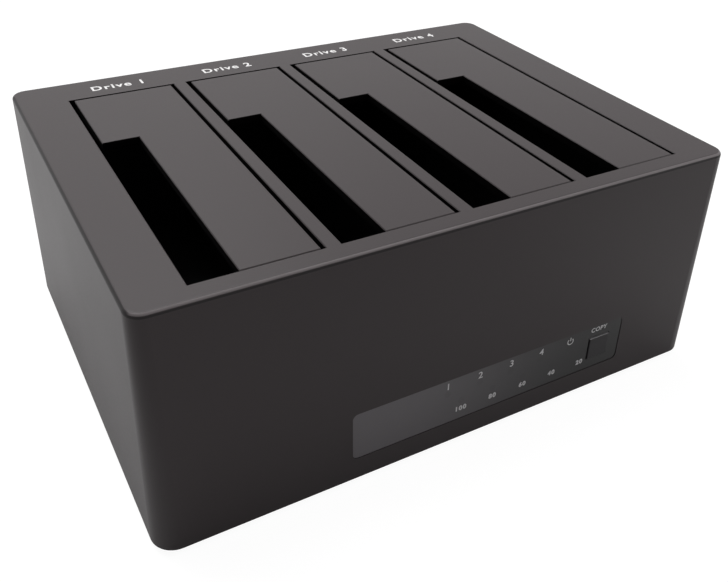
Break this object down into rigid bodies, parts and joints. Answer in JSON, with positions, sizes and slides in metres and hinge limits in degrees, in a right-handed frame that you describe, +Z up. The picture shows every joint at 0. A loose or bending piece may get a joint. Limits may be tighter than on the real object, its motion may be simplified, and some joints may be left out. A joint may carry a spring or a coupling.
{
  "type": "drive duplicator",
  "caption": "Desktop drive duplicator: low drafted box with flap-covered drive wells in its top, a sunk front panel strip with a copy button, sockets at the rear.",
  "frame": {"origin": "on the table under the middle of the box, at the feet's undersides", "axes": "+X to the right seen from the front, +Y to the rear, +Z up"},
  "size_m": [0.167, 0.127, 0.0682],
  "materials": {
    "housing_plastic": "fine matt texture, black with a warm cast",
    "flap_plastic": "fine matt texture, black with a warm cast",
    "well_plastic": "black moulded plastic",
    "panel_film": "dark satin film with clear windows and printed marks",
    "button_plastic": "dark satin plastic",
    "foot_rubber": "soft black rubber",
    "zinc_steel": "zinc-plated steel",
    "spring_steel": "drawn spring wire",
    "board_green": "green solder mask",
    "component_black": "moulded epoxy",
    "socket_black": "glass-filled nylon",
    "can_aluminium": "sleeved aluminium can",
    "crystal_metal": "nickel-plated can",
    "light_lens": "clear epoxy",
    "plated_shell": "nickel-plated sheet",
    "tongue_blue": "blue nylon",
    "contact_brass": "tin-plated brass",
    "rocker_black": "smooth black nylon"
  },
  "bodies": {
    "chassis": {"upper_housing": "housing_plastic", "base_plate": "housing_plastic", "rubber_feet": "foot_rubber", "base_screws": "zinc_steel", "main_board": "board_green", "liner_screws": "zinc_steel", "controller_chips": "component_black", "clock_crystals": "crystal_metal", "power_inductors": "component_black", "drive_power_transistors": "component_black", "electrolytic_capacitors": "can_aluminium", "front_overlay": "panel_film", "led_board": "board_green", "board_header": "contact_brass", "status_leds": "light_lens", "light_shield": "component_black", "button_switch": "component_black", "usb_shell": "plated_shell", "usb_tongues": "tongue_blue", "power_jack": "socket_black", "jack_centre_pin": "contact_brass", "switch_housing": "rocker_black", "switch_terminals": "contact_brass", "bay_liner_a": "well_plastic", "hinge_pin_a": "zinc_steel", "flap_spring_a": "spring_steel", "sata_socket_a": "socket_black", "bay_liner_b": "well_plastic", "hinge_pin_b": "zinc_steel", "flap_spring_b": "spring_steel", "sata_socket_b": "socket_black", "bay_liner_c": "well_plastic", "hinge_pin_c": "zinc_steel", "flap_spring_c": "spring_steel", "sata_socket_c": "socket_black", "bay_liner_d": "well_plastic", "hinge_pin_d": "zinc_steel", "flap_spring_d": "spring_steel", "sata_socket_d": "socket_black"},
    "flap_a": {"bay_flap_a": "flap_plastic"},
    "flap_b": {"bay_flap_b": "flap_plastic"},
    "flap_c": {"bay_flap_c": "flap_plastic"},
    "flap_d": {"bay_flap_d": "flap_plastic"},
    "copy_button": {"copy_button": "button_plastic", "switch_plunger": "button_plastic"},
    "power_rocker": {"power_rocker": "rocker_black"}
  },
  "joints": [
    {"name": "flap_a_swing", "type": "hinge", "parent": "chassis", "child": "flap_a", "pos_m": [-0.0362, 0, 0.0636], "axis": [0, -1, 0], "range_deg": [0, 90], "stiffness_Nm_per_rad": 0.003, "springref_deg": -68.75, "deforming": ["flap_spring_a"]},
    {"name": "flap_b_swing", "type": "hinge", "parent": "chassis", "child": "flap_b", "pos_m": [-0.0014, 0, 0.0636], "axis": [0, -1, 0], "range_deg": [0, 90], "stiffness_Nm_per_rad": 0.003, "springref_deg": -68.75, "deforming": ["flap_spring_b"]},
    {"name": "flap_c_swing", "type": "hinge", "parent": "chassis", "child": "flap_c", "pos_m": [0.0334, 0, 0.0636], "axis": [0, -1, 0], "range_deg": [0, 90], "stiffness_Nm_per_rad": 0.003, "springref_deg": -68.75, "deforming": ["flap_spring_c"]},
    {"name": "flap_d_swing", "type": "hinge", "parent": "chassis", "child": "flap_d", "pos_m": [0.0682, 0, 0.0636], "axis": [0, -1, 0], "range_deg": [0, 90], "stiffness_Nm_per_rad": 0.003, "springref_deg": -68.75, "deforming": ["flap_spring_d"]},
    {"name": "copy_button_press", "type": "slide", "parent": "chassis", "child": "copy_button", "axis": [0, 1, 0], "range_m": [0, 0.0005], "stiffness_N_per_m": 1500, "springref_m": -0.0004},
    {"name": "power_rocker_tilt", "type": "hinge", "parent": "chassis", "child": "power_rocker", "pos_m": [0.028, 0.05906, 0.0148], "axis": [0, 0, -1], "range_deg": [0, 20]}
  ]
}
